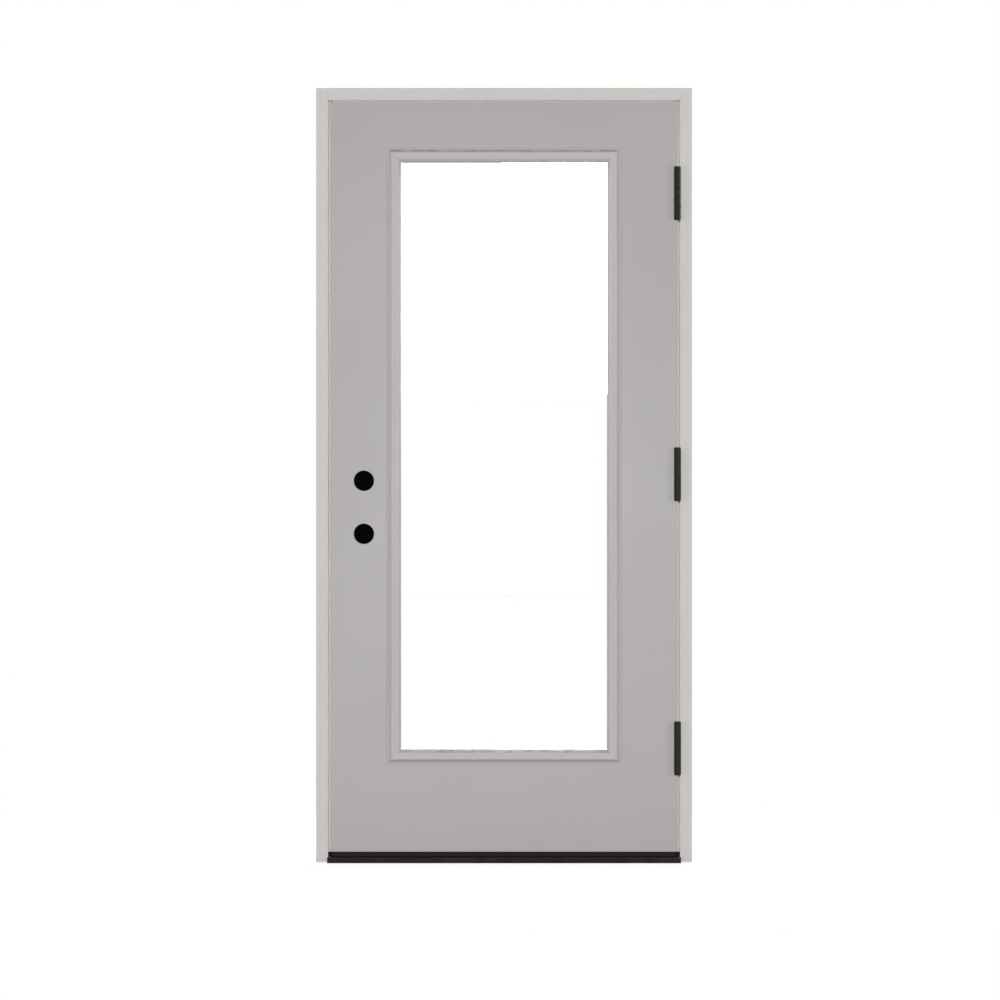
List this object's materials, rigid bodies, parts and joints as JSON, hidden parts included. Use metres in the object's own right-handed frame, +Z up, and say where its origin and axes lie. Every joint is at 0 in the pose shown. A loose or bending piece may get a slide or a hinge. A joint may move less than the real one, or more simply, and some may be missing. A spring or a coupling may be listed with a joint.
{
  "type": "full lite front door",
  "caption": "Prehung outward-swinging entry door with a tall rectangular glass lite, wood jambs, dark metal sill, black butt hinges and bored lock holes.",
  "frame": {"origin": "centre of the sill's underside, midway through the jambs' depth", "axes": "+Z up along the jambs; +Y inwards, from the outside face towards the room; +X towards the hinge jamb, on the right seen from outside"},
  "size_m": [0.989, 0.14, 2.038],
  "materials": {
    "jamb_paint": "satin",
    "slab_paint": "satin",
    "slab_edge": "satin",
    "raw_wood": "matte",
    "foam": "matte",
    "lite_plastic": "satin",
    "clear_glass": "polished",
    "spacer_metal": "satin",
    "glazing_tape": "matte",
    "sill_metal": "satin",
    "sill_board": "matte",
    "seal": "matte",
    "black_rubber": "matte",
    "hinge_black": "satin",
    "black_plastic": "matte"
  },
  "bodies": {
    "frame": {"head_jamb": "jamb_paint", "hinge_jamb": "jamb_paint", "strike_jamb": "jamb_paint", "threshold": "sill_metal", "threshold_base": "sill_board", "threshold_seal": "seal", "head_weatherstrip": "seal", "hinge_side_weatherstrip": "seal", "strike_side_weatherstrip": "seal", "upper_hinge_frame_leaf": "hinge_black", "middle_hinge_frame_leaf": "hinge_black", "lower_hinge_frame_leaf": "hinge_black", "upper_hinge_pin": "hinge_black", "middle_hinge_pin": "hinge_black", "lower_hinge_pin": "hinge_black"},
    "door": {"outside_skin": "slab_paint", "inside_skin": "slab_paint", "latch_stile": "slab_edge", "hinge_stile": "slab_edge", "top_rail": "slab_edge", "bottom_rail": "slab_edge", "foam_core": "foam", "lock_block": "raw_wood", "outside_lite_frame": "lite_plastic", "inside_lite_frame": "lite_plastic", "outside_pane": "clear_glass", "inside_pane": "clear_glass", "glass_spacer": "spacer_metal", "outside_glazing_tape": "glazing_tape", "inside_glazing_tape": "glazing_tape", "door_sweep": "black_rubber", "deadbolt_bore_cover": "black_plastic", "latch_bore_cover": "black_plastic", "upper_hinge_door_leaf": "hinge_black", "middle_hinge_door_leaf": "hinge_black", "lower_hinge_door_leaf": "hinge_black"}
  },
  "joints": [
    {"name": "door_swing", "type": "hinge", "parent": "frame", "child": "door", "pos_m": [0.45605, -0.06815, 1.022], "axis": [0, 0, 1], "range_deg": [0, 180]}
  ]
}
